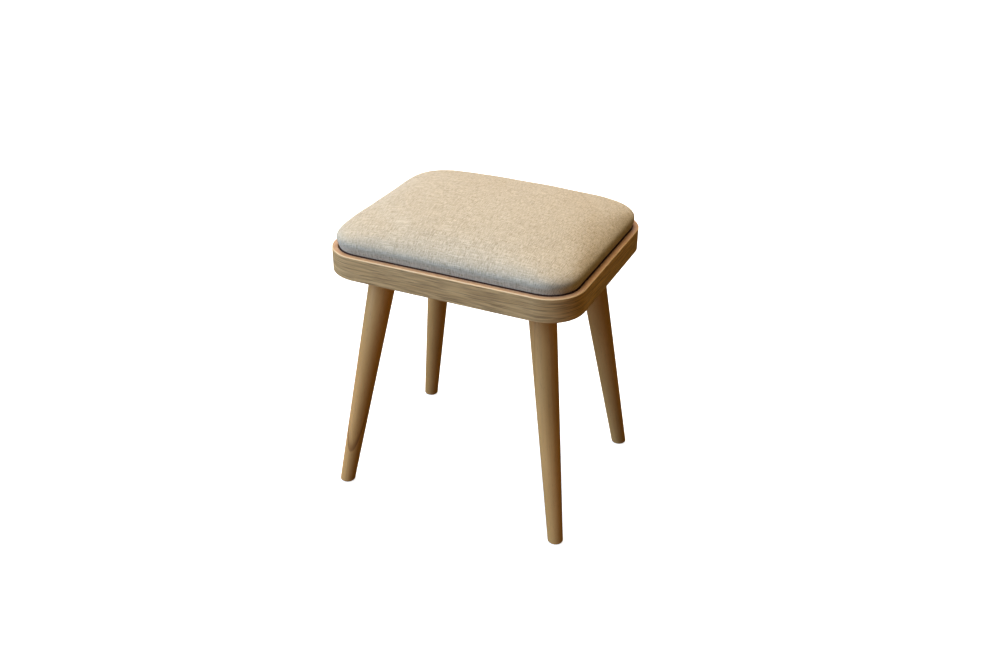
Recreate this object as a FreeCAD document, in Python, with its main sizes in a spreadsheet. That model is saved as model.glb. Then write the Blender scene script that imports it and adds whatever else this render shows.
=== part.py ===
# A small upholstered stool: a bent wooden ring, a drop-in padded seat and four splayed turned legs.
# Sizes are in millimetres, +Z is up, +X runs along the longer side and -Y is the front.
# The origin lies on the floor under the middle of the seat.

import FreeCAD
import Part
import Sketcher
import os

SIZES = {
    # Bent ring round the seat; frame_top is its height above the floor
    "frame_width": 380,
    "frame_depth": 318,
    "frame_top": 400,
    "frame_height": 35.5,
    "frame_corner": 53,
    "frame_wall": 9,
    "frame_easing": 1.2,
    # Base panel, let into the ring from below
    "panel_thickness": 12,
    "panel_drop": 10,
    "panel_rebate": 3,
    # Glued blocks that brace the ring's corners under the panel
    "block_setback": 2,
    "block_tail": 15,
    "block_screw_out": 32,
    "block_screw_in": 12,
    "block_screw_cover": 3,
    # Drop-in seat: board, foam and cover
    "seat_gap": 1,
    "board_thickness": 9,
    "cover_thickness": 1.2,
    "tuck_width": 26,
    "pad_side": 17,
    "pad_crown": 37,
    "pad_fullness": 0.8,
    "pad_rounding": 4,
    "vent_diameter": 24,
    "vent_x": 90,
    "vent_y": 55,
    # Staples that hold the cover's tuck
    "staple_width": 10,
    "staple_wire": 0.8,
    "staple_bite": 6,
    "staple_pitch": 36,
    # Turned legs; leg_inset is from the ring's outer faces to the leg's axis where it meets its plate
    "leg_inset": 69,
    "leg_drop": 10,
    "leg_splay": 11.75,
    "leg_heading": 43,
    "leg_top_diameter": 41,
    "leg_foot_diameter": 22.4,
    "leg_trim": 6,
    "foot_rounding": 1.8,
    # Pressed steel leg plates
    "plate_margin": 8,
    "plate_corner": 7,
    "plate_steel": 2.5,
    "cup_mouth": 50,
    "cup_seat": 36,
    "nut_diameter": 13,
    "nut_height": 8,
    "plate_screw_spacing": 44,
    "screw_play": 0.5,
    # Hanger bolts that join legs and plates
    "bolt_diameter": 8,
    "bolt_out": 8.5,
    "bolt_in": 40,
    # Wood screws
    "screw_diameter": 4,
    "screw_head": 8,
    "screw_head_height": 2.4,
    "plate_screw_bite": 9,
    # Seat bolts, their washers and tee nuts
    "seat_bolt_diameter": 6,
    "seat_bolt_play": 1,
    "seat_bolt_head": 11,
    "seat_bolt_head_height": 3.5,
    "seat_bolt_x": 45,
    "seat_bolt_y": 95,
    "washer_diameter": 18,
    "washer_thickness": 1.5,
    "tee_flange": 19,
    "tee_flange_thickness": 1.5,
    "tee_barrel": 8,
    "tee_length": 7.5,
    # Glides under the feet
    "glide_diameter": 15,
    "glide_thickness": 2,
    "glide_nail": 2.4,
    "glide_nail_length": 12,
}

# Levels of the domed pad, as angles of a quarter ellipse from its side to its top
PAD_ANGLES = (0, 11, 22, 34, 47, 60, 73, 86)
# Signs of X and Y at each corner
CORNERS = {
    "front_left": (-1, -1),
    "front_right": (1, -1),
    "back_left": (-1, 1),
    "back_right": (1, 1),
}
# Turn about Z that brings a corner block made for the back right to each corner
BLOCK_TURNS = {"front_left": 180, "front_right": 270, "back_left": 90, "back_right": 0}

# Heights and places that several pieces share, as expressions on the sheet
FRAME_UNDER = "(Size.frame_top - Size.frame_height)"
PANEL_TOP = "(Size.frame_top - Size.panel_drop)"
PANEL_UNDER = f"({PANEL_TOP} - Size.panel_thickness)"
BOARD_UNDER = f"({PANEL_TOP} + Size.cover_thickness)"
BOARD_TOP = f"({BOARD_UNDER} + Size.board_thickness)"
LEG_TOP = f"({PANEL_UNDER} - Size.leg_drop)"
BLOCK_HEIGHT = f"({PANEL_UNDER} - {FRAME_UNDER} - Size.block_setback)"
PANEL_INSET = "(Size.frame_wall - Size.panel_rebate)"
SEAT_INSET = "(Size.frame_wall + Size.seat_gap)"
BOARD_INSET = f"({SEAT_INSET} + Size.cover_thickness)"
CORNER_X = "(Size.frame_width / 2 - Size.frame_corner)"
CORNER_Y = "(Size.frame_depth / 2 - Size.frame_corner)"
LEG_X = "(Size.frame_width / 2 - Size.leg_inset)"
LEG_Y = "(Size.frame_depth / 2 - Size.leg_inset)"
BOLT_PLACES = [(f"{x} * Size.seat_bolt_x", f"{y} * Size.seat_bolt_y") for x, y in CORNERS.values()]

doc = FreeCAD.newDocument("Stool")
sheet = doc.addObject("Spreadsheet::Sheet", "Size")
for row, (name, size) in enumerate(SIZES.items(), 1):
    sheet.set(f"A{row}", name)
    sheet.set(f"B{row}", str(size))
    sheet.setAlias(f"B{row}", name)
doc.recompute()


def value(text):
    """What an expression on the sheet comes to now."""
    return float(sheet.evalExpression(text))


def tie(item, **places):
    """Bind an object's properties to expressions; a double underscore stands for a dot."""
    for name, text in places.items():
        item.setExpression(name.replace("__", "."), text)


def origin(body, role):
    """A body's own origin plane or axis."""
    return next(item for item in body.Origin.OriginFeatures if item.Role == role)


def new_body(label):
    body = doc.addObject("PartDesign::Body", label)
    body.Label = label
    return body


def new_sketch(body, name, plane="XY_Plane", x="0", y="0", z="0"):
    """A sketch on an origin plane, shifted in that plane's own directions."""
    sketch = body.newObject("Sketcher::SketchObject", name)
    sketch.AttachmentSupport = [(origin(body, plane), "")]
    sketch.MapMode = "FlatFace"
    tie(sketch, AttachmentOffset__Base__x=x, AttachmentOffset__Base__y=y, AttachmentOffset__Base__z=z)
    return sketch


def dimension(sketch, name, text, *constraint):
    """A named sketch dimension that follows the sheet."""
    number = sketch.addConstraint(Sketcher.Constraint(*constraint, value(text)))
    sketch.renameConstraint(number, name)
    sketch.setExpression(f"Constraints.{name}", text)


def draw_polygon(sketch, points):
    """A closed outline of straight lines through points given as expressions."""
    spots = [FreeCAD.Vector(value(x), value(y), 0) for x, y in points]
    count = len(spots)
    for number in range(count):
        sketch.addGeometry(Part.LineSegment(spots[number], spots[(number + 1) % count]))
    for number in range(count):
        sketch.addConstraint(Sketcher.Constraint("Coincident", number, 2, (number + 1) % count, 1))
    for number, (x, y) in enumerate(points):
        dimension(sketch, f"x{number}", x, "DistanceX", -1, 1, number, 1)
        dimension(sketch, f"y{number}", y, "DistanceY", -1, 1, number, 1)


def draw_rounded(sketch, width, depth, radius):
    """A rectangle with round corners, centred on the sketch's origin."""
    first = sketch.GeometryCount
    prefix = f"loop{first}_"
    x = value(width) / 2
    y = value(depth) / 2
    r = value(radius)
    corners = [(x, -y), (x, y), (-x, y), (-x, -y)]
    for number, (corner_x, corner_y) in enumerate(corners):
        last_x, last_y = corners[number - 1]
        along = FreeCAD.Vector(corner_x - last_x, corner_y - last_y, 0).normalize() * r
        start = FreeCAD.Vector(last_x, last_y, 0) + along
        end = FreeCAD.Vector(corner_x, corner_y, 0) - along
        inward = FreeCAD.Vector(-along.y, along.x, 0)
        side = Part.LineSegment(start, end)
        circle = Part.Circle(end + inward, FreeCAD.Vector(0, 0, 1), r)
        turn = circle.parameter(end)
        sketch.addGeometry(side)
        sketch.addGeometry(Part.ArcOfCircle(circle, turn, circle.parameter(end + along + inward)))
    for number in range(0, 8, 2):
        side = first + number
        following = first + (number + 2) % 8
        sketch.addConstraint(Sketcher.Constraint("Tangent", side, 2, side + 1, 1))
        sketch.addConstraint(Sketcher.Constraint("Tangent", side + 1, 2, following, 1))
        sketch.addConstraint(Sketcher.Constraint("Horizontal" if number % 4 == 0 else "Vertical", side))
        if number:
            sketch.addConstraint(Sketcher.Constraint("Equal", first + 1, side + 1))
    sketch.addConstraint(Sketcher.Constraint("Symmetric", first + 1, 3, first + 5, 3, -1, 1))
    dimension(sketch, prefix + "width", width, "DistanceX", first + 6, 1, first + 2, 1)
    dimension(sketch, prefix + "depth", depth, "DistanceY", first, 1, first + 4, 1)
    dimension(sketch, prefix + "radius", radius, "Radius", first + 1)


def draw_outline(sketch, inset):
    """The ring's outer outline, set in by the same distance all round."""
    width = f"(Size.frame_width - 2 * {inset})"
    depth = f"(Size.frame_depth - 2 * {inset})"
    draw_rounded(sketch, width, depth, f"(Size.frame_corner - {inset})")


def draw_circles(sketch, diameter, places=(("0", "0"),)):
    """Circles of one diameter at places given as expressions."""
    for number, (x, y) in enumerate(places):
        middle = FreeCAD.Vector(value(x), value(y), 0)
        sketch.addGeometry(Part.Circle(middle, FreeCAD.Vector(0, 0, 1), value(diameter) / 2))
        dimension(sketch, f"x{number}", x, "DistanceX", -1, 1, number, 3)
        dimension(sketch, f"y{number}", y, "DistanceY", -1, 1, number, 3)
        dimension(sketch, f"diameter{number}", diameter, "Diameter", number)


def add(body, kind, name, profile, **places):
    """A feature made from a sketch, with its sizes bound to the sheet."""
    feature = body.newObject(f"PartDesign::{kind}", name)
    feature.Profile = profile
    tie(feature, **places)
    return feature


def add_through(body, name, profile):
    """A cut right through the body, both ways from its sketch."""
    cut = add(body, "Pocket", name, profile)
    cut.Type = "ThroughAll"
    cut.Midplane = True
    return cut


def add_turned(body, name, points, x="0", y="0", z="0"):
    """A piece turned about an upright axis at x and y; its points are (radius, height above z)."""
    profile = new_sketch(body, name + "Profile", "XZ_Plane", x, z, f"-({y})")
    draw_polygon(profile, points)
    doc.recompute()
    turned = add(body, "Revolution", name, profile)
    turned.ReferenceAxis = (profile, ["V_Axis"])
    turned.Angle = 360
    doc.recompute()
    return turned


def add_mirrored(body, originals, first=()):
    """Repeat features into all four quarters of the seat, after any earlier step."""
    quarters = body.newObject("PartDesign::MultiTransform", "Quarters")
    quarters.Originals = originals
    steps = list(first)
    for name, plane in (("Across", "YZ_Plane"), ("Along", "XZ_Plane")):
        mirrored = body.newObject("PartDesign::Mirrored", name)
        mirrored.MirrorPlane = (origin(body, plane), [""])
        steps.append(mirrored)
    quarters.Transformations = steps
    body.Tip = quarters
    doc.recompute()


def ease_edges(body, kind, base, chosen, **size):
    """Fillet or chamfer the edges of a feature that a test chooses."""
    doc.recompute()
    edges = enumerate(base.Shape.Edges, 1)
    names = [f"Edge{number}" for number, edge in edges if chosen(edge)]
    eased = body.newObject(f"PartDesign::{kind}", "Eased")
    eased.Base = (base, names)
    tie(eased, **size)


def middle_of(edge):
    return edge.valueAt((edge.FirstParameter + edge.LastParameter) / 2)


def cut_by(label, base, *tools):
    """The base with each tool's own shape taken out of it."""
    for tool in tools:
        cut = doc.addObject("Part::Cut", label + "_cut")
        cut.Base = base
        cut.Tool = tool
        base = cut
    base.Label = label
    return base


def splay_turn(side_x, side_y):
    """Turn about Z from +X to the way that a corner's leg leans out."""
    return f"(90 - {side_x} * 90 + {side_x * side_y} * Size.leg_heading)"


def lean(side_x, side_y):
    """Rotation of a leg's own axis from upright to its splay."""
    return f"rotationz({splay_turn(side_x, side_y)}) * rotationy(-Size.leg_splay)"


def place(item, x="0", y="0", z="0", rotation=None):
    tie(item, Placement__Base__x=x, Placement__Base__y=y, Placement__Base__z=z)
    if rotation:
        tie(item, Placement__Rotation=rotation)


def make_seat_frame():
    """Bent ring with a rebate below for the panel, and eased edges."""
    body = new_body("seat_frame")
    place(body, z=FRAME_UNDER)
    wall = new_sketch(body, "Wall")
    draw_outline(wall, "0")
    draw_outline(wall, "Size.frame_wall")
    add(body, "Pad", "Ring", wall, Length="Size.frame_height")
    seat = new_sketch(body, "PanelSeat")
    draw_outline(seat, PANEL_INSET)
    doc.recompute()
    rebate = add(body, "Pocket", "Rebate", seat, Length="Size.frame_height - Size.panel_drop")
    rebate.Reversed = True
    ends = (0, value("Size.frame_height"))
    ease_edges(body, "Chamfer", rebate, lambda edge: level_of(edge) in ends, Size="Size.frame_easing")
    return body


def level_of(edge):
    """Height of a level edge, or None for an edge that climbs."""
    heights = [vertex.Z for vertex in edge.Vertexes] + [middle_of(edge).z]
    return round(heights[0], 4) if max(heights) - min(heights) < 0.001 else None


def make_block_screws():
    """Screws sunk flush in the panel and down into the corner blocks, two to a block."""
    body = new_body("block_screws")
    length = f"(Size.panel_thickness + {BLOCK_HEIGHT} - Size.block_screw_cover)"
    points = [
        ("0", "0"),
        ("Size.screw_head / 2", "0"),
        ("Size.screw_head / 2", "-Size.screw_head_height"),
        ("Size.screw_diameter / 2", "-Size.screw_head_height"),
        ("Size.screw_diameter / 2", f"-{length}"),
        ("0", f"-{length}"),
    ]
    spots = (("Size.block_screw_out", "Size.block_screw_in"), ("Size.block_screw_in", "Size.block_screw_out"))
    screws = []
    for number, (out_x, out_y) in enumerate(spots, 1):
        x = f"{CORNER_X} + {out_x}"
        y = f"{CORNER_Y} + {out_y}"
        screws.append(add_turned(body, f"Screw{number}", points, x, y, PANEL_TOP))
    add_mirrored(body, screws)
    return body


def make_leg_plate_screws():
    """Pan head screws up through the leg plates into the panel, four to a plate."""
    body = new_body("leg_plate_screws")
    points = [
        ("0", "-Size.plate_steel - Size.screw_head_height"),
        ("Size.screw_head / 2", "-Size.plate_steel - Size.screw_head_height"),
        ("Size.screw_head / 2", "-Size.plate_steel"),
        ("Size.screw_diameter / 2", "-Size.plate_steel"),
        ("Size.screw_diameter / 2", "Size.plate_screw_bite"),
        ("0", "Size.plate_screw_bite"),
    ]
    middle = new_sketch(body, "PlateMiddle", x=LEG_X, y=LEG_Y)
    half = "Size.plate_screw_spacing / 2"
    x = f"{LEG_X} + {half} * (cos(Size.leg_heading) - sin(Size.leg_heading))"
    y = f"{LEG_Y} + {half} * (cos(Size.leg_heading) + sin(Size.leg_heading))"
    screw = add_turned(body, "Screw", points, x, y, PANEL_UNDER)
    around = body.newObject("PartDesign::PolarPattern", "Around")
    around.Axis = (middle, ["N_Axis"])
    around.Angle = 360
    around.Occurrences = 4
    add_mirrored(body, [screw], [around])
    return body


def make_seat_bolts():
    """Bolts up through the panel into the seat board's tee nuts."""
    body = new_body("seat_bolts")
    under_head = "-Size.washer_thickness"
    under = f"({under_head} - Size.seat_bolt_head_height)"
    end = "(Size.panel_thickness + Size.cover_thickness + Size.board_thickness - Size.tee_flange_thickness)"
    points = [
        ("0", under),
        ("Size.seat_bolt_head / 2", under),
        ("Size.seat_bolt_head / 2", under_head),
        ("Size.seat_bolt_diameter / 2", under_head),
        ("Size.seat_bolt_diameter / 2", end),
        ("0", end),
    ]
    bolt = add_turned(body, "Bolt", points, "Size.seat_bolt_x", "Size.seat_bolt_y", PANEL_UNDER)
    add_mirrored(body, [bolt])
    return body


def make_seat_washers():
    """Washers under the seat bolts' heads."""
    body = new_body("seat_washers")
    bore = "(Size.seat_bolt_diameter + Size.screw_play) / 2"
    points = [
        (bore, "-Size.washer_thickness"),
        ("Size.washer_diameter / 2", "-Size.washer_thickness"),
        ("Size.washer_diameter / 2", "0"),
        (bore, "0"),
    ]
    washer = add_turned(body, "Washer", points, "Size.seat_bolt_x", "Size.seat_bolt_y", PANEL_UNDER)
    add_mirrored(body, [washer])
    return body


def make_seat_tee_nuts():
    """Tee nuts let into the top of the seat board."""
    body = new_body("seat_tee_nuts")
    points = [
        ("Size.seat_bolt_diameter / 2", "0"),
        ("Size.tee_flange / 2", "0"),
        ("Size.tee_flange / 2", "-Size.tee_flange_thickness"),
        ("Size.tee_barrel / 2", "-Size.tee_flange_thickness"),
        ("Size.tee_barrel / 2", "-Size.tee_length"),
        ("Size.seat_bolt_diameter / 2", "-Size.tee_length"),
    ]
    nut = add_turned(body, "TeeNut", points, "Size.seat_bolt_x", "Size.seat_bolt_y", BOARD_TOP)
    add_mirrored(body, [nut])
    return body


def make_base_panel(*screws):
    """Plywood panel that carries the legs and the seat."""
    body = new_body("base_panel_blank")
    place(body, z=PANEL_UNDER)
    blank = new_sketch(body, "Blank")
    draw_outline(blank, PANEL_INSET)
    add(body, "Pad", "Panel", blank, Length="Size.panel_thickness")
    holes = new_sketch(body, "BoltHoles")
    draw_circles(holes, "Size.seat_bolt_diameter + Size.seat_bolt_play", BOLT_PLACES)
    doc.recompute()
    add_through(body, "SeatBoltHoles", holes)
    return cut_by("base_panel", body, *screws)


def make_corner_block(name, side_x, side_y, screws):
    """Block that follows the ring's inner arc, with a straight inner face across the corner."""
    body = new_body(f"corner_block_{name}_blank")
    turn = f"rotationz({BLOCK_TURNS[name]})"
    place(body, f"{side_x} * {CORNER_X}", f"{side_y} * {CORNER_Y}", f"{PANEL_UNDER} - {BLOCK_HEIGHT}", turn)
    sketch = new_sketch(body, "Plan")
    radius = value(f"Size.frame_corner - {PANEL_INSET}")
    tail = value("Size.block_tail")
    spots = [
        FreeCAD.Vector(0, radius, 0),
        FreeCAD.Vector(-tail, radius, 0),
        FreeCAD.Vector(radius, -tail, 0),
        FreeCAD.Vector(radius, 0, 0),
    ]
    bend = Part.Arc(spots[3], FreeCAD.Vector(1, 1, 0).normalize() * radius, spots[0])
    sketch.addGeometry(bend)
    for start, end in zip(spots, spots[1:]):
        sketch.addGeometry(Part.LineSegment(start, end))
    sketch.addConstraint(Sketcher.Constraint("Coincident", 0, 3, -1, 1))
    sketch.addConstraint(Sketcher.Constraint("Tangent", 0, 2, 1, 1))
    sketch.addConstraint(Sketcher.Constraint("Coincident", 1, 2, 2, 1))
    sketch.addConstraint(Sketcher.Constraint("Coincident", 2, 2, 3, 1))
    sketch.addConstraint(Sketcher.Constraint("Tangent", 3, 2, 0, 1))
    sketch.addConstraint(Sketcher.Constraint("Horizontal", 1))
    sketch.addConstraint(Sketcher.Constraint("Vertical", 3))
    dimension(sketch, "radius", f"Size.frame_corner - {PANEL_INSET}", "Radius", 0)
    dimension(sketch, "tail_x", "Size.block_tail", "DistanceX", 1, 2, 1, 1)
    dimension(sketch, "tail_y", "Size.block_tail", "DistanceY", 3, 1, 3, 2)
    add(body, "Pad", "Block", sketch, Length=BLOCK_HEIGHT)
    return cut_by(f"corner_block_{name}", body, screws)


def make_seat_board(staples):
    """Plywood board of the drop-in seat, with vents for the foam and seats for the tee nuts."""
    body = new_body("seat_board_blank")
    place(body, z=BOARD_UNDER)
    blank = new_sketch(body, "Blank")
    draw_outline(blank, BOARD_INSET)
    add(body, "Pad", "Board", blank, Length="Size.board_thickness")
    vents = new_sketch(body, "VentPlan")
    around = [(f"{x} * Size.vent_x", f"{y} * Size.vent_y") for x, y in CORNERS.values()]
    draw_circles(vents, "Size.vent_diameter", [("0", "0")] + around)
    barrels = new_sketch(body, "BarrelPlan")
    draw_circles(barrels, "Size.tee_barrel", BOLT_PLACES)
    flanges = new_sketch(body, "FlangePlan", z="Size.board_thickness")
    draw_circles(flanges, "Size.tee_flange", BOLT_PLACES)
    doc.recompute()
    add_through(body, "Vents", vents)
    add_through(body, "Barrels", barrels)
    add(body, "Pocket", "Flanges", flanges, Length="Size.tee_flange_thickness")
    return cut_by("seat_board", body, staples)


def pad_levels(body, name, skin, floor):
    """Outlines of the padded seat from floor level up to its crown, each set in by skin."""
    half = f"(Size.frame_depth / 2 - {SEAT_INSET} - {skin})"
    corner = f"(Size.frame_corner - {SEAT_INSET} - {skin})"
    longer = "(Size.frame_width - Size.frame_depth)"
    base = new_sketch(body, f"{name}Base", z=floor)
    draw_rounded(base, f"2 * {half} + {longer}", f"2 * {half}", corner)
    levels = [base]
    for number, angle in enumerate(PAD_ANGLES):
        reach = f"{half} * cos({angle} deg)"
        round_off = f"{corner} + Size.pad_rounding * {half} * (1 - cos({angle} deg))"
        rise = f"Size.pad_crown * sin({angle} deg) ^ Size.pad_fullness"
        level = new_sketch(body, f"{name}{number}", z=f"Size.frame_top + Size.pad_side + {rise} - {skin}")
        draw_rounded(level, f"2 * {reach} + {longer}", f"2 * {reach}", f"min({round_off}; 0.9 * {reach})")
        levels.append(level)
    doc.recompute()
    return levels


def add_loft(body, kind, name, levels):
    loft = add(body, kind, name, levels[0])
    loft.Sections = [(level, [""]) for level in levels[1:]]
    loft.Ruled = True
    return loft


def make_foam_pad():
    """Foam on the seat board, domed and rounder towards its top."""
    body = new_body("foam_pad")
    levels = pad_levels(body, "Foam", "Size.cover_thickness", BOARD_TOP)
    add_loft(body, "AdditiveLoft", "Dome", levels)
    return body


def make_seat_cover(staples):
    """Fabric over the foam and round the board, tucked under its edge."""
    body = new_body("seat_cover_blank")
    outside = pad_levels(body, "Outside", "0", PANEL_TOP)
    inside = pad_levels(body, "Inside", "Size.cover_thickness", BOARD_UNDER)
    add_loft(body, "AdditiveLoft", "Fabric", outside)
    add_loft(body, "SubtractiveLoft", "Hollow", inside)
    mouth = new_sketch(body, "TuckEdge", z=BOARD_UNDER)
    draw_outline(mouth, f"({BOARD_INSET} + Size.tuck_width)")
    doc.recompute()
    add(body, "Pocket", "Mouth", mouth, Length="Size.cover_thickness")
    return cut_by("seat_cover", body, staples)


def make_cover_staples():
    """Rows of staples through the tuck into the seat board."""
    body = new_body("cover_staples")
    side = "Size.staple_width / 2"
    inner = f"({side} - Size.staple_wire)"
    top = "(Size.cover_thickness + Size.staple_bite)"
    points = [
        (f"-{side}", "0"),
        (side, "0"),
        (side, top),
        (inner, top),
        (inner, "Size.staple_wire"),
        (f"-{inner}", "Size.staple_wire"),
        (f"-{inner}", top),
        (f"-{side}", top),
    ]
    rows = [
        ("Long", "XZ_Plane", "X_Axis", "Size.frame_width", "Size.frame_depth"),
        ("Short", "YZ_Plane", "Y_Axis", "Size.frame_depth", "Size.frame_width"),
    ]
    for name, plane, axis, run, span in rows:
        count = int(value(f"({run} - 2 * Size.frame_corner) / Size.staple_pitch"))
        away = f"{span} / 2 - {BOARD_INSET} - Size.tuck_width / 2"
        first = f"-{(count - 1) / 2} * Size.staple_pitch"
        sketch = new_sketch(body, name + "Staple", plane, first, PANEL_TOP, away)
        draw_polygon(sketch, points)
        doc.recompute()
        staple = add(body, "Pad", name + "First", sketch, Length="Size.staple_wire")
        staple.Midplane = True
        along = body.newObject("PartDesign::LinearPattern", name + "Along")
        along.Direction = (origin(body, axis), [""])
        along.Occurrences = count
        tie(along, Length=f"{count - 1} * Size.staple_pitch")
        across = body.newObject("PartDesign::Mirrored", name + "Across")
        across.MirrorPlane = (origin(body, plane), [""])
        row = body.newObject("PartDesign::MultiTransform", name + "Rows")
        row.Originals = [staple]
        row.Transformations = [along, across]
        body.Tip = row
        doc.recompute()
    return body


def make_leg_plate(name, side_x, side_y):
    """Pressed plate whose cup is tipped to seat the leg square, with a nut fixed in the cup."""
    body = new_body(f"leg_plate_{name}")
    turn = f"rotationz({splay_turn(side_x, side_y)})"
    place(body, f"{side_x} * {LEG_X}", f"{side_y} * {LEG_Y}", PANEL_UNDER, turn)
    flange = new_sketch(body, "FlangePlan", z="-Size.plate_steel")
    width = "(Size.plate_screw_spacing + 2 * Size.plate_margin)"
    draw_rounded(flange, width, width, "Size.plate_corner")
    add(body, "Pad", "Flange", flange, Length="Size.plate_steel")
    for kind, wall in (("Additive", "0"), ("Subtractive", "Size.plate_steel")):
        shift = f"-{wall} * sin(Size.leg_splay)"
        seat = new_sketch(body, kind + "Seat", x=shift, z=f"{wall} * cos(Size.leg_splay) - Size.leg_drop")
        tie(seat, AttachmentOffset__Rotation="rotationy(-Size.leg_splay)")
        draw_circles(seat, f"Size.cup_seat - 2 * {wall}")
        mouth = new_sketch(body, kind + "Mouth")
        draw_circles(mouth, f"Size.cup_mouth - 2 * {wall}")
        doc.recompute()
        add_loft(body, kind + "Loft", kind + "Cup", [seat, mouth])
    for kind, diameter in (("Nut", "Size.nut_diameter"), ("Thread", "Size.bolt_diameter")):
        sketch = new_sketch(body, kind + "Plan", z="-Size.leg_drop")
        tie(sketch, AttachmentOffset__Rotation="rotationy(-Size.leg_splay)")
        draw_circles(sketch, diameter)
        doc.recompute()
        if kind == "Nut":
            add(body, "Pad", kind, sketch, Length="Size.nut_height")
        else:
            add_through(body, kind, sketch)
    holes = new_sketch(body, "ScrewPlan")
    half = "Size.plate_screw_spacing / 2"
    places = [(f"{x} * {half}", f"{y} * {half}") for x, y in CORNERS.values()]
    draw_circles(holes, "Size.screw_diameter + Size.screw_play", places)
    doc.recompute()
    add_through(body, "ScrewHoles", holes)
    return body


def make_hanger_bolt(name, side_x, side_y):
    """Stud with a machine end up through the plate's nut and a wood end down the leg's axis."""
    body = new_body(f"hanger_bolt_{name}")
    place(body, f"{side_x} * {LEG_X}", f"{side_y} * {LEG_Y}", LEG_TOP, lean(side_x, side_y))
    points = [
        ("0", "Size.bolt_out"),
        ("0", "-Size.bolt_in"),
        ("Size.bolt_diameter / 2", "-Size.bolt_in"),
        ("Size.bolt_diameter / 2", "Size.bolt_out"),
    ]
    add_turned(body, "Stud", points)
    return body


def make_glide(name, side_x, side_y):
    """Round nail-on glide, flat on the floor under the foot."""
    body = new_body(f"glide_{name}")
    run = f"({LEG_TOP} - Size.glide_thickness) * tan(Size.leg_splay)"
    x = f"{side_x} * ({LEG_X} + {run} * cos(Size.leg_heading))"
    y = f"{side_y} * ({LEG_Y} + {run} * sin(Size.leg_heading))"
    place(body, x, y)
    edge = "Size.glide_diameter / 2"
    nail = "Size.glide_nail / 2"
    end = "(Size.glide_thickness + Size.glide_nail_length)"
    points = [
        ("0", "0"),
        (edge, "0"),
        (edge, "Size.glide_thickness"),
        (nail, "Size.glide_thickness"),
        (nail, end),
        ("0", end),
    ]
    add_turned(body, "Glide", points)
    return body


def make_leg(name, side_x, side_y, bolt, glide):
    """Turned, tapered leg, trimmed level at the foot and bored for its bolt and its glide's nail."""
    body = new_body(f"leg_{name}_blank")
    place(body, f"{side_x} * {LEG_X}", f"{side_y} * {LEG_Y}", LEG_TOP, lean(side_x, side_y))
    length = f"({LEG_TOP} / cos(Size.leg_splay) + Size.leg_trim)"
    points = [
        ("0", "0"),
        ("0", f"-{length}"),
        ("Size.leg_foot_diameter / 2", f"-{length}"),
        ("Size.leg_top_diameter / 2", "0"),
    ]
    add_turned(body, "Taper", points)
    foot = f"(({LEG_TOP} - Size.glide_thickness) / cos(Size.leg_splay))"
    across = "Size.leg_foot_diameter * cos(Size.leg_splay)"
    slant = "Size.leg_foot_diameter * sin(Size.leg_splay)"
    trim = new_sketch(body, "FloorLine", "XZ_Plane")
    draw_polygon(trim, [
        (f"-{across}", f"{slant} - {foot}"),
        (f"-{across} - {slant}", f"{slant} - {across} - {foot}"),
        (f"{across} - {slant}", f"-{slant} - {across} - {foot}"),
        (across, f"-{slant} - {foot}"),
    ])
    doc.recompute()
    level = add_through(body, "LevelFoot", trim)
    floor = value("Size.glide_thickness")
    doc.recompute()

    def at_foot(edge):
        spots = edge.discretize(5)
        return all(abs(body.Placement.multVec(spot).z - floor) < 0.01 for spot in spots)

    ease_edges(body, "Fillet", level, at_foot, Radius="Size.foot_rounding")
    return cut_by(f"leg_{name}", body, bolt, glide)


def make_stool():
    """Every piece of the stool, in the order in which they depend on each other."""
    block_screws = make_block_screws()
    plate_screws = make_leg_plate_screws()
    staples = make_cover_staples()
    pieces = [
        make_seat_frame(),
        make_base_panel(block_screws, plate_screws),
        make_seat_board(staples),
        make_foam_pad(),
        make_seat_cover(staples),
        staples,
        block_screws,
        plate_screws,
        make_seat_bolts(),
        make_seat_washers(),
        make_seat_tee_nuts(),
    ]
    for name, (side_x, side_y) in CORNERS.items():
        bolt = make_hanger_bolt(name, side_x, side_y)
        glide = make_glide(name, side_x, side_y)
        pieces += [
            make_corner_block(name, side_x, side_y, block_screws),
            make_leg_plate(name, side_x, side_y),
            make_leg(name, side_x, side_y, bolt, glide),
            bolt,
            glide,
        ]
    return pieces


def check(pieces):
    """Stop with a plain message if any object of the document failed or has no sound shape."""
    for item in doc.Objects:
        if "Invalid" in item.State or "Error" in item.State:
            raise RuntimeError(f"{item.Label} did not build: {item.State}")
    for piece in pieces:
        if piece.Shape.isNull() or not piece.Shape.isValid() or not piece.Shape.Solids:
            raise RuntimeError(f"{piece.Label} has no sound solid")


pieces = make_stool()
doc.recompute()
check(pieces)
os.makedirs("parts", exist_ok=True)
for piece in pieces:
    piece.Shape.exportStep(f"parts/{piece.Label}.step")
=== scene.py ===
"""Upholstered pouf stool: oak-veneered ring, linen seat pad and four splayed turned legs."""

import math

import bmesh
import bpy
from mathutils import Matrix, Vector


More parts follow.
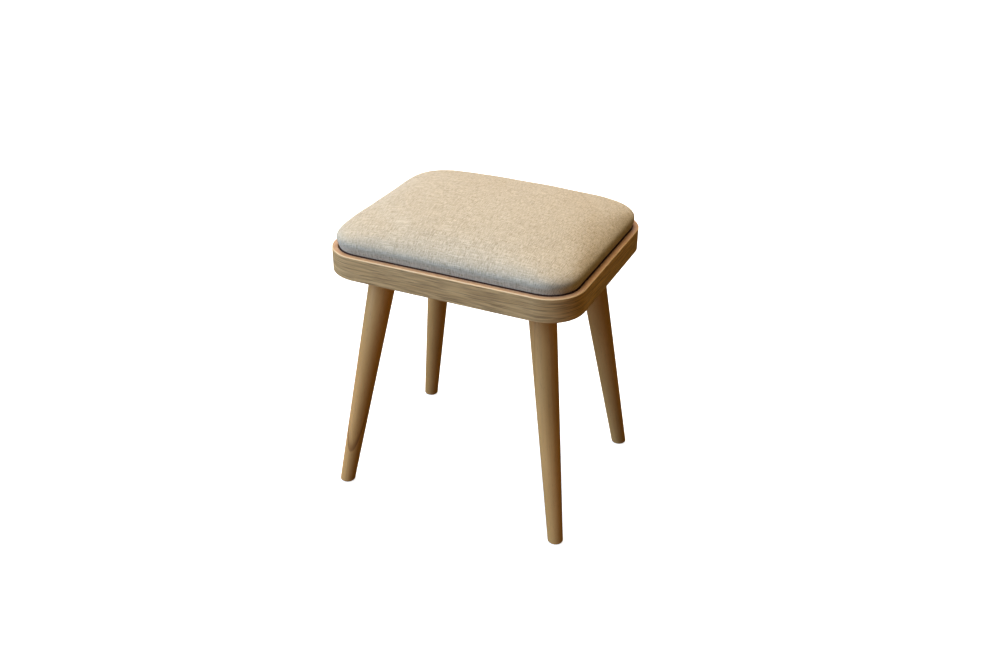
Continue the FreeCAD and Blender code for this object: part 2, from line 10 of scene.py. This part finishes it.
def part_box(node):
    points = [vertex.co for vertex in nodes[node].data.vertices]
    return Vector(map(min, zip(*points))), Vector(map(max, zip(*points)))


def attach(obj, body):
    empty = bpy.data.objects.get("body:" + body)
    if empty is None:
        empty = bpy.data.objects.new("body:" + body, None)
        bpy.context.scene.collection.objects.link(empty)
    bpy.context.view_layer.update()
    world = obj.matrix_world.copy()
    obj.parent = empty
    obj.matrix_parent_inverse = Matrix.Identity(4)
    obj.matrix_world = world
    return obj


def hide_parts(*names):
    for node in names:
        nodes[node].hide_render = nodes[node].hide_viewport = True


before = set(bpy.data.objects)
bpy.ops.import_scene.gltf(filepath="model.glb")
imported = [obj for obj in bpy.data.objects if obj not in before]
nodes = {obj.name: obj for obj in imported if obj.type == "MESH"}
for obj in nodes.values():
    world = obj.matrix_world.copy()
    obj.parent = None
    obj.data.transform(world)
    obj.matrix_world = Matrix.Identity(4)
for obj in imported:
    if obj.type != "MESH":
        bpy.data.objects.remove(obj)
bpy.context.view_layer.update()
scene = bpy.context.scene

# Shared sizes, in metres, read from the frame where it has them
RING_LOW, RING_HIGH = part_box("seat_frame")
RIM = RING_HIGH.z
RING_WALL = 0.009
RING_CORNER = 0.053
SEAT_GAP = 0.001
SEAT_INSET = RING_WALL + SEAT_GAP
BOARD_LOW, BOARD_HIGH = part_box("seat_board")
COVER = 0.0012
TUCK = 0.026
LEG_TOP_HEIGHT = 0.368
LEG_TOP_PLACE = (0.121, 0.090)
LEG_FOOT_PLACE = (0.17652, 0.14178)

# Pad, in metres: height of its side and its dome, depth below the rim, how far its side stands out past
# the seat's edge, and where on the dome the cloth turns down
PAD_SIDE = 0.0172
PAD_CROWN = 0.0367
PAD_ROOT = 0.025
PAD_EASE = 0.0006
SHOULDER_RISE = 0.010
SHOULDER = RIM + PAD_SIDE + SHOULDER_RISE

# Dome of the pad: power of its curve (less is fuller), growth of the corner radius with each row's inset,
# and the most of a row's half depth that this radius takes
PAD_FULLNESS = 0.84
PAD_ROUNDING = 3.2
PAD_CORNER_SHARE = 0.92

# Rows up the dome, the angle that they sweep in degrees, and points along each row
DOME_ROWS = 26
DOME_SWEEP = 88.5
CORNER_POINTS = 12
SIDE_POINTS = 24

# How the cloth swells: lengths in metres, then the pressure and the counts of its steps
SWELL = 0.003
SIDE_SWELL = 0.0012
SIDE_SWELL_FROM = 0.006
HELD_BELOW_RIM = 0.008
VOXEL = 0.005
PRESSURE = 4.0
STEPS = 20
EASE_ROUNDS = 4
EVEN_ROUNDS = 14

# How the pad's side rounds out over the rim and is drawn in behind it, in metres, and the rows cut for it
BULGE = 0.0028
BULGE_HEIGHT = 0.028
CREASE = 0.0011
CREASE_HEIGHT = 0.005
CREASE_ROWS = 5
# Height above the rim over which painted shade darkens the cloth in the crease behind it
CREASE_SHADE_HEIGHT = 0.0018


def half_sizes(inset):
    """Half width, half depth and corner radius of the ring's outline set in by inset."""
    half_x = (RING_HIGH.x - RING_LOW.x) / 2 - inset
    half_y = (RING_HIGH.y - RING_LOW.y) / 2 - inset
    return half_x, half_y, RING_CORNER - inset


def rounded_outline(half_x, half_y, corner, per_corner, per_side):
    """Points of a rounded rectangle, anticlockwise, with the same count on every call."""
    points = []
    for quarter in range(4):
        sign_x = 1 if quarter in (0, 3) else -1
        sign_y = 1 if quarter in (0, 1) else -1
        centre = Vector((sign_x * (half_x - corner), sign_y * (half_y - corner)))
        arc = []
        for step in range(per_corner + 1):
            angle = math.pi / 2 * (quarter + step / per_corner)
            arc.append(centre + corner * Vector((math.cos(angle), math.sin(angle))))
        if points:
            start = points[-1]
            for step in range(1, per_side):
                points.append(start.lerp(arc[0], step / per_side))
        points.extend(arc)
    start, first = points[-1], points[0]
    for step in range(1, per_side):
        points.append(start.lerp(first, step / per_side))
    return points


def outward(x, y):
    """Level direction that points straight out of the seat's edge nearest to x, y."""
    half_x, half_y, corner = half_sizes(SEAT_INSET)
    beyond_x = abs(x) - (half_x - corner)
    beyond_y = abs(y) - (half_y - corner)
    if beyond_x > 0 and beyond_y > 0:
        out = Vector((beyond_x, beyond_y))
    elif beyond_x > beyond_y:
        out = Vector((1, 0))
    else:
        out = Vector((0, 1))
    out.normalize()
    return Vector((math.copysign(out.x, x), math.copysign(out.y, y)))


def new_piece(name, mesh):
    piece = bpy.data.objects.new(name, mesh)
    scene.collection.objects.link(piece)
    return piece


# Seat pad
def pad_form():
    """Closed crowned form of the pad, its dome lower than the finished one by what the cloth swells."""
    half_x, half_y, corner = half_sizes(SEAT_INSET - PAD_EASE)
    rows = [(half_x, half_y, corner, RIM - PAD_ROOT)]
    for level in range(DOME_ROWS):
        angle = math.radians(DOME_SWEEP) * level / (DOME_ROWS - 1)
        reach = half_y * math.cos(angle)
        inset = half_y - reach
        radius = min(corner + PAD_ROUNDING * inset, PAD_CORNER_SHARE * reach)
        rise = PAD_CROWN * math.sin(angle) ** PAD_FULLNESS
        height = RIM + PAD_SIDE + rise - SWELL * math.sin(angle)
        rows.append((half_x - inset, reach, radius, height))
    form = bmesh.new()
    loops = []
    for half_width, half_depth, radius, height in rows:
        outline = rounded_outline(half_width, half_depth, radius, CORNER_POINTS, SIDE_POINTS)
        loops.append([form.verts.new((point.x, point.y, height)) for point in outline])
    for low, high in zip(loops, loops[1:]):
        for i in range(len(low)):
            j = (i + 1) % len(low)
            form.faces.new((low[i], low[j], high[j], high[i]))
    form.faces.new(loops[-1])
    form.faces.new(reversed(loops[0]))
    mesh = bpy.data.meshes.new("seat_pad")
    form.to_mesh(mesh)
    form.free()
    return new_piece("seat_pad", mesh)


def swell(pad):
    """Lets cloth under air pressure fill the dome out, each point by no more than the swell."""
    voxels = pad.modifiers.new("voxels", "REMESH")
    voxels.mode = "VOXEL"
    voxels.voxel_size = VOXEL
    ease = pad.modifiers.new("ease", "SMOOTH")
    ease.factor = 0.5
    ease.iterations = EASE_ROUNDS
    bake_modifiers(pad)
    start = [vertex.co.copy() for vertex in pad.data.vertices]
    held = pad.vertex_groups.new(name="held")
    low = [vertex.index for vertex in pad.data.vertices if vertex.co.z < RIM - HELD_BELOW_RIM]
    held.add(low, 1.0, "REPLACE")
    cloth = pad.modifiers.new("cloth", "CLOTH")
    cloth.settings.use_pressure = True
    cloth.settings.uniform_pressure_force = PRESSURE
    cloth.settings.vertex_group_mass = "held"
    cloth.settings.effector_weights.gravity = 0
    cloth.point_cache.frame_start = 1
    cloth.point_cache.frame_end = STEPS
    for step in range(1, STEPS + 1):
        scene.frame_set(step)
    bake_modifiers(pad)
    scene.frame_set(1)
    moves = []
    for vertex, place in zip(pad.data.vertices, start):
        move = vertex.co - place
        out = outward(place.x, place.y).to_3d()
        move -= min(0.0, move.dot(out)) * out
        most = swell_limit(place.z)
        if move.length > most:
            move *= most / move.length
        moves.append(move)
    for vertex, place, move in zip(pad.data.vertices, start, evened(pad.data, moves)):
        vertex.co = place + move
    pad.vertex_groups.clear()


def swell_limit(height):
    """How far a point at this height may move: little at the sides, most at the crown."""
    side = min(1.0, max(0.0, (height - RIM) / SIDE_SWELL_FROM))
    crown = min(1.0, max(0.0, (height - RIM - PAD_SIDE) / (PAD_CROWN - SWELL)))
    return SIDE_SWELL * side + (SWELL - SIDE_SWELL) * crown ** (1 / PAD_FULLNESS)


def evened(mesh, moves):
    """The moves with each shared out among its neighbours, so that taut cloth shows no dents."""
    for _ in range(EVEN_ROUNDS):
        totals = [move.copy() for move in moves]
        counts = [1] * len(moves)
        for edge in mesh.edges:
            first, second = edge.vertices
            totals[first] += moves[second]
            totals[second] += moves[first]
            counts[first] += 1
            counts[second] += 1
        moves = [total / count for total, count in zip(totals, counts)]
    return moves


def refine(pad):
    """One round of subdivision, before the cover's long thin faces are added."""
    finer = pad.modifiers.new("finer", "SUBSURF")
    finer.levels = 1
    bake_modifiers(pad)


def round_sides(pad):
    """Rounds the pad's side out over the rim and draws it in where the cover turns down behind the rim."""
    form = bmesh.new()
    form.from_mesh(pad.data)
    for row in range(CREASE_ROWS):
        level = (0, 0, RIM + CREASE_HEIGHT * (row + 0.5) / CREASE_ROWS)
        everything = form.verts[:] + form.edges[:] + form.faces[:]
        bmesh.ops.bisect_plane(form, geom=everything, plane_co=level, plane_no=(0, 0, 1))
    for vertex in form.verts:
        above = max(0.0, vertex.co.z - RIM)
        if above < BULGE_HEIGHT:
            move = BULGE * math.sin(math.pi * above / BULGE_HEIGHT) ** 2
            move -= CREASE * max(0.0, 1 - above / CREASE_HEIGHT) ** 2
            vertex.co += move * outward(vertex.co.x, vertex.co.y).to_3d()
    form.to_mesh(pad.data)
    form.free()


def bake_modifiers(piece):
    """Puts the result of a piece's modifiers into its mesh."""
    graph = bpy.context.evaluated_depsgraph_get()
    mesh = bpy.data.meshes.new_from_object(piece.evaluated_get(graph))
    piece.modifiers.clear()
    piece.data = mesh


def wrap_board(pad):
    """Cuts the pad level with the seat board and carries its cover round and under the board."""
    form = bmesh.new()
    form.from_mesh(pad.data)
    everything = form.verts[:] + form.edges[:] + form.faces[:]
    bmesh.ops.bisect_plane(
        form, geom=everything, plane_co=(0, 0, BOARD_HIGH.z), plane_no=(0, 0, 1), clear_inner=True
    )
    rim_edges = [edge for edge in form.edges if edge.is_boundary]
    under = BOARD_LOW.z
    turns = (
        (0.0, under - COVER),
        (TUCK, under - COVER),
        (TUCK, under),
        (COVER, under),
        (COVER, BOARD_HIGH.z),
    )
    ring = {vertex: vertex.co.copy() for edge in rim_edges for vertex in edge.verts}
    for inset, height in turns:
        grown = bmesh.ops.extrude_edge_only(form, edges=rim_edges)["geom"]
        rim_edges = [item for item in grown if isinstance(item, bmesh.types.BMEdge)]
        fresh = [item for item in grown if isinstance(item, bmesh.types.BMVert)]
        moved = {}
        for vertex in fresh:
            home = min(ring, key=lambda old: (old.co - vertex.co).length_squared)
            moved[vertex] = ring[home]
        for vertex, home in moved.items():
            out = outward(home.x, home.y)
            vertex.co = (home.x - inset * out.x, home.y - inset * out.y, height)
        ring = moved
    bmesh.ops.holes_fill(form, edges=rim_edges)
    bmesh.ops.recalc_face_normals(form, faces=form.faces[:])
    form.to_mesh(pad.data)
    form.free()


seat_pad = pad_form()
swell(seat_pad)
refine(seat_pad)
round_sides(seat_pad)
wrap_board(seat_pad)
for face in seat_pad.data.polygons:
    face.use_smooth = True
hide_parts("seat_cover", "foam_pad")
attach(seat_pad, "root")


# Materials
# Figure in the wood: leg radius at its point and layer thickness in metres, waver in layers, then plies
LEG_FIGURE_RADIUS = 0.0132
LAYER_THICKNESS = 0.065
LAYER_WAVER = 0.03
PLIES_PER_METRE = 333.0


class Recipe:
    """A procedural material, built up node by node."""

    def __init__(self, name, roughness=0.5, metallic=0.0, specular=0.5):
        self.material = bpy.data.materials.new(name)
        self.material.use_nodes = True
        self.tree = self.material.node_tree
        self.shader = self.tree.nodes["Principled BSDF"]
        self.feed(self.shader.inputs["Roughness"], roughness)
        self.feed(self.shader.inputs["Metallic"], metallic)
        self.feed(self.shader.inputs["Specular IOR Level"], specular)

    def feed(self, socket, value):
        if isinstance(value, bpy.types.NodeSocket):
            self.tree.links.new(value, socket)
        else:
            socket.default_value = value

    def add(self, kind, inputs, **settings):
        node = self.tree.nodes.new(kind)
        for key, value in settings.items():
            setattr(node, key, value)
        for key, value in inputs.items():
            self.feed(node.inputs[key], value)
        return node

    def places(self):
        return self.add("ShaderNodeTexCoord", {}).outputs["Object"]

    def vector(self, operation, first, second=(0, 0, 0)):
        return self.add("ShaderNodeVectorMath", {0: first, 1: second}, operation=operation).outputs["Vector"]

    def along(self, places, direction):
        inputs = {0: places, 1: direction}
        return self.add("ShaderNodeVectorMath", inputs, operation="DOT_PRODUCT").outputs["Value"]

    def cloth_places(self, shoulder):
        """Places on the cloth laid flat, so that threads run on over the edge at shoulder height."""
        places = self.places()
        facing = self.add("ShaderNodeNewGeometry", {}).outputs["Normal"]
        out = self.vector("NORMALIZE", self.stretched(facing, (1, 1, 0)))
        drop = self.sum("MAXIMUM", self.sum("SUBTRACT", shoulder, self.part(places, "Z")), 0.0)
        hang = self.add("ShaderNodeVectorMath", {0: out, "Scale": drop}, operation="SCALE").outputs["Vector"]
        return self.vector("ADD", self.stretched(places, (1, 1, 0)), hang)

    def stretched(self, places, scale):
        return self.vector("MULTIPLY", places, scale)

    def turned(self, places, centre, turn):
        """The places as seen from a frame that stands at centre and is turned."""
        inputs = {"Vector": places, "Location": centre, "Rotation": turn}
        return self.add("ShaderNodeMapping", inputs, vector_type="TEXTURE").outputs["Vector"]

    def part(self, places, axis):
        return self.add("ShaderNodeSeparateXYZ", {"Vector": places}).outputs[axis]

    def noise(self, places, scale=1.0, detail=2.0):
        inputs = {"Vector": places, "Scale": scale, "Detail": detail}
        return self.add("ShaderNodeTexNoise", inputs).outputs["Fac"]

    def sum(self, operation, first, second=0.0):
        return self.add("ShaderNodeMath", {0: first, 1: second}, operation=operation).outputs["Value"]

    def ramp(self, factor, low, high, bottom=0.0, top=1.0):
        """The factor's stretch from low to high, spread smoothly over bottom to top."""
        inputs = {"Value": factor, "From Min": low, "From Max": high, "To Min": bottom, "To Max": top}
        node = self.add("ShaderNodeMapRange", inputs, interpolation_type="SMOOTHSTEP")
        return node.outputs["Result"]

    def mix(self, factor, first, second, blend="MIX"):
        node = self.add("ShaderNodeMix", {}, data_type="RGBA", blend_type=blend)
        self.feed(node.inputs[0], factor)
        self.feed(node.inputs[6], first)
        self.feed(node.inputs[7], second)
        return node.outputs[2]

    def colour(self, value):
        self.feed(self.shader.inputs["Base Color"], value)

    def rough(self, value):
        self.feed(self.shader.inputs["Roughness"], value)

    def bump(self, height, depth, strength=1.0):
        inputs = {"Height": height, "Distance": depth, "Strength": strength}
        self.feed(self.shader.inputs["Normal"], self.add("ShaderNodeBump", inputs).outputs["Normal"])


def tint(red, green, blue):
    return (red, green, blue, 1.0)


def oak_veneer():
    """Bent veneer: grain and pores run level round the ring, with a warmer top edge and a painted highlight
    on its eased outer corner.
    """
    recipe = Recipe("oak_veneer", specular=0.3)
    places = recipe.places()
    broad = recipe.noise(recipe.stretched(places, (5, 5, 110)), detail=2)
    grain = recipe.noise(recipe.stretched(places, (20, 20, 430)), detail=1)
    pores = recipe.noise(recipe.stretched(places, (30, 30, 800)), detail=1)
    wood = recipe.mix(recipe.ramp(broad, 0.3, 0.7), tint(0.62, 0.36, 0.148), tint(0.71, 0.43, 0.188))
    wood = recipe.mix(recipe.ramp(grain, 0.38, 0.64, 0.0, 0.6), wood, tint(0.38, 0.21, 0.082))
    wood = recipe.mix(recipe.ramp(pores, 0.52, 0.66, 0.0, 0.6), wood, tint(0.25, 0.135, 0.054))
    edge_grain = recipe.noise(recipe.stretched(places, (140, 140, 140)), detail=4)
    edge = recipe.mix(recipe.ramp(edge_grain, 0.3, 0.7), tint(0.46, 0.25, 0.125), tint(0.54, 0.31, 0.165))
    facing = recipe.add("ShaderNodeNewGeometry", {}).outputs["True Normal"]
    rise = recipe.part(facing, "Z")
    sideways = recipe.along(recipe.stretched(places, (1, 1, 0)), facing)
    # Painted highlight: a pale band on the outward slope of the top edge, where its eased corner catches the
    # light
    sloped = recipe.sum("MULTIPLY", recipe.ramp(rise, 0.3, 0.5), recipe.ramp(rise, 0.95, 0.8))
    arris_highlight = recipe.sum("MULTIPLY", sloped, recipe.ramp(sideways, 0.0, 0.02))
    wood = recipe.mix(recipe.ramp(rise, 0.3, 0.5), wood, edge)
    recipe.colour(recipe.mix(arris_highlight, wood, tint(0.74, 0.50, 0.26)))
    recipe.rough(recipe.ramp(grain, 0.3, 0.7, 0.42, 0.58))
    recipe.bump(recipe.sum("SUBTRACT", 0.0, recipe.ramp(pores, 0.52, 0.66)), 0.0002, 0.5)
    return recipe.material


def turned_wood(name, foot, top, facing, lean, apex, figure, painted_shading):
    """Long grain down a leg, cut by leaning growth layers that show as a point on the side they face, the
    whole leg made lighter or darker by painted light and shade.
    """
    recipe = Recipe(name, specular=0.4)
    axis = (Vector(top) - Vector(foot)).normalized()
    places = recipe.turned(recipe.places(), foot, axis.to_track_quat("Z", "Y").to_euler())
    streaks = recipe.noise(recipe.stretched(places, (260, 260, 5)), detail=3)
    broad = recipe.noise(recipe.stretched(places, (40, 40, 6)), detail=2)
    flecks = recipe.noise(recipe.stretched(places, (900, 900, 90)), detail=1)
    wood = recipe.mix(recipe.ramp(broad, 0.3, 0.7), tint(0.58, 0.29, 0.092), tint(0.67, 0.34, 0.116))
    wood = recipe.mix(recipe.ramp(streaks, 0.45, 0.75, 0.0, 0.2), wood, tint(0.38, 0.19, 0.055))
    wood = recipe.mix(recipe.ramp(flecks, 0.62, 0.72, 0.0, 0.25), wood, tint(0.30, 0.15, 0.045))
    level = Vector((math.cos(math.radians(facing)), math.sin(math.radians(facing)), 0.0))
    level = (level - level.dot(axis) * axis).normalized()
    normal = math.cos(math.radians(lean)) * level + math.sin(math.radians(lean)) * axis
    waver = recipe.noise(recipe.stretched(places, (60, 60, 20)), detail=2)
    depth = recipe.along(recipe.vector("SUBTRACT", recipe.places(), foot), normal)
    first = LEG_FIGURE_RADIUS * math.cos(math.radians(lean)) + apex * math.sin(math.radians(lean))
    layer = recipe.sum("DIVIDE", recipe.sum("SUBTRACT", depth, first), LAYER_THICKNESS)
    layer = recipe.sum("FRACT", recipe.sum("ADD", layer, recipe.sum("MULTIPLY", waver, LAYER_WAVER)))
    late = recipe.sum("MULTIPLY", recipe.ramp(layer, 0.0, 0.008), recipe.ramp(layer, 0.06, 0.01))
    wood = recipe.mix(recipe.sum("MULTIPLY", late, figure), wood, tint(0.28, 0.105, 0.028))
    # Painted light and shade: the whole leg's colour is scaled, darker for the back legs that stand in the
    # seat's shade
    recipe.colour(recipe.mix(1.0, wood, tint(painted_shading, painted_shading, painted_shading), blend="MULTIPLY"))
    recipe.rough(recipe.ramp(streaks, 0.3, 0.7, 0.38, 0.52))
    recipe.bump(streaks, 0.0001, 0.4)
    return recipe.material


def linen():
    """Plain slub weave: two sets of uneven threads that cross, with painted shade darkening the cloth in the
    crease behind the rim.
    """
    recipe = Recipe("linen", roughness=0.9, specular=0.2)
    places = recipe.cloth_places(SHOULDER)
    weft = recipe.noise(recipe.stretched(places, (120, 1400, 1)), detail=1)
    warp = recipe.noise(recipe.stretched(places, (1400, 120, 1)), detail=1)
    slub_weft = recipe.noise(recipe.stretched(places, (30, 1000, 1)), detail=1)
    slub_warp = recipe.noise(recipe.stretched(places, (1000, 30, 1)), detail=1)
    cloudy = recipe.noise(recipe.stretched(places, (14, 14, 1)), detail=2)
    cloth = recipe.mix(recipe.ramp(cloudy, 0.3, 0.7), tint(0.515, 0.418, 0.295), tint(0.535, 0.437, 0.31))
    cloth = recipe.mix(recipe.ramp(weft, 0.42, 0.62), cloth, tint(0.37, 0.285, 0.18))
    cloth = recipe.mix(recipe.ramp(warp, 0.42, 0.62, 0.0, 0.85), cloth, tint(0.66, 0.55, 0.40))
    cloth = recipe.mix(recipe.ramp(slub_weft, 0.55, 0.68, 0.0, 0.6), cloth, tint(0.74, 0.63, 0.47))
    cloth = recipe.mix(recipe.ramp(slub_warp, 0.56, 0.70, 0.0, 0.5), cloth, tint(0.32, 0.24, 0.15))
    # Painted shade: the cloth turns almost black just above the rim, where the crease behind the rim lies in
    # shadow
    height = recipe.part(recipe.places(), "Z")
    crease_shade = recipe.ramp(height, RIM + CREASE_SHADE_HEIGHT, RIM + CREASE_SHADE_HEIGHT / 3, 0.0, 0.96)
    recipe.colour(recipe.mix(crease_shade, cloth, tint(0.07, 0.012, 0.001)))
    recipe.feed(recipe.shader.inputs["Sheen Weight"], 0.06)
    recipe.feed(recipe.shader.inputs["Sheen Roughness"], 0.5)
    threads = recipe.sum("ADD", recipe.sum("ADD", weft, warp), recipe.sum("ADD", slub_weft, slub_warp))
    recipe.bump(threads, 0.0004, 0.5)
    return recipe.material


def plywood():
    """Sanded birch plywood: long figure on its faces and stripes of plies at its edges."""
    recipe = Recipe("plywood", specular=0.3)
    places = recipe.places()
    figure = recipe.noise(recipe.stretched(places, (6, 90, 40)), detail=4)
    fine = recipe.noise(recipe.stretched(places, (30, 700, 300)), detail=2)
    face = recipe.mix(recipe.ramp(figure, 0.3, 0.7), tint(0.42, 0.30, 0.175), tint(0.52, 0.39, 0.24))
    face = recipe.mix(recipe.ramp(fine, 0.5, 0.75, 0.0, 0.5), face, tint(0.33, 0.225, 0.12))
    plies = recipe.sum("FRACT", recipe.sum("MULTIPLY", recipe.part(places, "Z"), PLIES_PER_METRE))
    normal = recipe.add("ShaderNodeNewGeometry", {}).outputs["True Normal"]
    upright = recipe.sum("ABSOLUTE", recipe.part(normal, "Z"))
    stripe = recipe.sum("MULTIPLY", recipe.ramp(plies, 0.45, 0.55), recipe.ramp(upright, 0.6, 0.3))
    recipe.colour(recipe.mix(stripe, face, tint(0.25, 0.155, 0.08)))
    recipe.rough(recipe.ramp(fine, 0.3, 0.7, 0.6, 0.75))
    recipe.bump(fine, 0.0002, 0.5)
    return recipe.material


def powder_coat():
    """Black powder coat with a fine orange peel."""
    recipe = Recipe("powder_coat", specular=0.4)
    places = recipe.places()
    peel = recipe.noise(places, scale=700.0, detail=2)
    dust = recipe.noise(places, scale=60.0, detail=3)
    black = recipe.mix(recipe.ramp(dust, 0.4, 0.8), tint(0.018, 0.018, 0.019), tint(0.035, 0.034, 0.033))
    recipe.colour(black)
    recipe.rough(recipe.ramp(dust, 0.3, 0.8, 0.42, 0.6))
    recipe.bump(peel, 0.0003, 0.5)
    return recipe.material


def zinc():
    """Zinc plate: dull metal, a little cloudy, with drawn lines."""
    recipe = Recipe("zinc", metallic=1.0)
    places = recipe.places()
    cloudy = recipe.noise(places, scale=220.0, detail=3)
    drawn = recipe.noise(recipe.stretched(places, (1800, 1800, 200)), detail=2)
    plate = recipe.mix(recipe.ramp(cloudy, 0.3, 0.7), tint(0.52, 0.53, 0.54), tint(0.64, 0.64, 0.62))
    recipe.colour(plate)
    recipe.rough(recipe.ramp(drawn, 0.3, 0.7, 0.3, 0.5))
    recipe.bump(drawn, 0.00005, 0.4)
    return recipe.material


def nylon():
    """Moulded nylon, matt and slightly scuffed."""
    recipe = Recipe("nylon", specular=0.4)
    places = recipe.places()
    scuffs = recipe.noise(recipe.stretched(places, (500, 120, 300)), detail=3)
    moulded = recipe.mix(recipe.ramp(scuffs, 0.4, 0.75), tint(0.30, 0.22, 0.135), tint(0.40, 0.31, 0.21))
    recipe.colour(moulded)
    recipe.rough(recipe.ramp(scuffs, 0.3, 0.7, 0.45, 0.65))
    recipe.bump(scuffs, 0.0001, 0.3)
    return recipe.material


def paint(piece, material):
    piece.data.materials.clear()
    piece.data.materials.append(material)


def leg_ends(corner):
    """Foot and top centre of the leg at a corner named front or back, left or right."""
    sign_x = -1 if corner.endswith("left") else 1
    sign_y = -1 if corner.startswith("front") else 1
    foot = (sign_x * LEG_FOOT_PLACE[0], sign_y * LEG_FOOT_PLACE[1], 0.0)
    top = (sign_x * LEG_TOP_PLACE[0], sign_y * LEG_TOP_PLACE[1], LEG_TOP_HEIGHT)
    return foot, top


# Each leg's timber: side its growth layers face and their lean, in degrees, height of a point in metres,
# how strongly the layers show, and painted light and shade on the whole leg: the back legs darker, as in the
# seat's shade
LEG_TIMBER = {
    "front_left": (-81, 6.5, 0.060, 0.7, 1.06),
    "front_right": (150, 6, 0.150, 0.3, 1.02),
    "back_left": (40, 8, 0.200, 0.3, 0.86),
    "back_right": (100, 7, 0.120, 0.3, 0.86),
}

plywood_material = plywood()
coat_material = powder_coat()
zinc_material = zinc()
nylon_material = nylon()
paint(seat_pad, linen())
paint(nodes["seat_frame"], oak_veneer())
for name in ("base_panel", "seat_board"):
    paint(nodes[name], plywood_material)
for name in (
    "cover_staples",
    "block_screws",
    "leg_plate_screws",
    "seat_bolts",
    "seat_washers",
    "seat_tee_nuts",
):
    paint(nodes[name], zinc_material)
for corner, timber in LEG_TIMBER.items():
    foot, top = leg_ends(corner)
    paint(nodes["leg_" + corner], turned_wood("turned_wood_" + corner, foot, top, *timber))
    paint(nodes["corner_block_" + corner], plywood_material)
    paint(nodes["leg_plate_" + corner], coat_material)
    paint(nodes["hanger_bolt_" + corner], zinc_material)
    paint(nodes["glide_" + corner], nylon_material)


# Floor, light and camera
# Lengths are in metres, apart from the sensor and the lens, which are in millimetres
FLOOR_REACH = 9.0
FLOOR_GLOW = 0.9
FLOOR_BOUNCE = (0.17, 0.104, 0.026)
WORLD_LIGHT = (0.10, 0.07, 0.026)
SENSOR_WIDTH = 36.0
LENS = 39.01
CAMERA_PLACE = (0.60602, -1.31101, 1.03626)
CAMERA_RIGHT = (0.90998, 0.41447, 0.01242)
CAMERA_UP = (-0.21099, 0.43703, 0.87435)

# Each sun: direction that it comes from, strength, spread in degrees and colour
SUNS = {
    "key": ((-0.20, 0.12, 0.97), 2.88, 45, (1.0, 0.835, 0.565)),
    "fill": ((-0.64, -0.63, 0.47), 4.45, 65, (0.38, 0.62, 1.0)),
    "back": ((-0.30, 0.90, 0.30), 1.1, 60, (0.85, 0.88, 1.0)),
}


def make_floor():
    """Wide pale floor, lit evenly to white where the camera sees it and dimmer in what it sends back."""
    form = bmesh.new()
    bmesh.ops.create_grid(form, x_segments=8, y_segments=8, size=FLOOR_REACH)
    mesh = bpy.data.meshes.new("floor")
    form.to_mesh(mesh)
    form.free()
    floor = new_piece("floor", mesh)
    recipe = Recipe("floor", roughness=0.9, specular=0.0)
    shade = recipe.noise(recipe.places(), scale=1.5)
    seen = recipe.add("ShaderNodeLightPath", {}).outputs["Is Camera Ray"]
    pale = recipe.mix(shade, tint(0.78, 0.78, 0.78), tint(0.81, 0.81, 0.81))
    recipe.colour(recipe.mix(seen, tint(*FLOOR_BOUNCE), pale))
    recipe.feed(recipe.shader.inputs["Emission Color"], tint(1.0, 0.97, 0.93))
    recipe.feed(recipe.shader.inputs["Emission Strength"], recipe.sum("MULTIPLY", seen, FLOOR_GLOW))
    paint(floor, recipe.material)


def add_sun(name, toward, strength, spread, colour):
    """A broad soft light that comes from the direction given."""
    light = bpy.data.lights.new(name, "SUN")
    light.energy = strength
    light.angle = math.radians(spread)
    light.color = colour
    lamp = new_piece(name, light)
    lamp.rotation_euler = Vector(toward).to_track_quat("Z", "Y").to_euler()


def make_world():
    """White backdrop that sends only a faint warm light."""
    world = bpy.data.worlds.new("studio")
    scene.world = world
    world.use_nodes = True
    tree = world.node_tree
    blend = tree.nodes.new("ShaderNodeMix")
    blend.data_type = "RGBA"
    blend.inputs[6].default_value = tint(*WORLD_LIGHT)
    blend.inputs[7].default_value = tint(1.0, 1.0, 1.0)
    seen = tree.nodes.new("ShaderNodeLightPath").outputs["Is Camera Ray"]
    tree.links.new(seen, blend.inputs[0])
    tree.links.new(blend.outputs[2], tree.nodes["Background"].inputs["Color"])


def make_camera():
    """Camera at the viewing angle of the picture, from above the near right corner."""
    camera = bpy.data.cameras.new("camera")
    camera.sensor_fit = "HORIZONTAL"
    camera.sensor_width = SENSOR_WIDTH
    camera.lens = LENS
    eye = new_piece("camera", camera)
    right = Vector(CAMERA_RIGHT)
    up = Vector(CAMERA_UP)
    turn = Matrix((right, up, right.cross(up))).transposed().to_4x4()
    eye.matrix_world = Matrix.Translation(CAMERA_PLACE) @ turn
    scene.camera = eye


make_floor()
for name, light in SUNS.items():
    add_sun(name, *light)
make_world()
make_camera()
scene.view_settings.view_transform = "Standard"
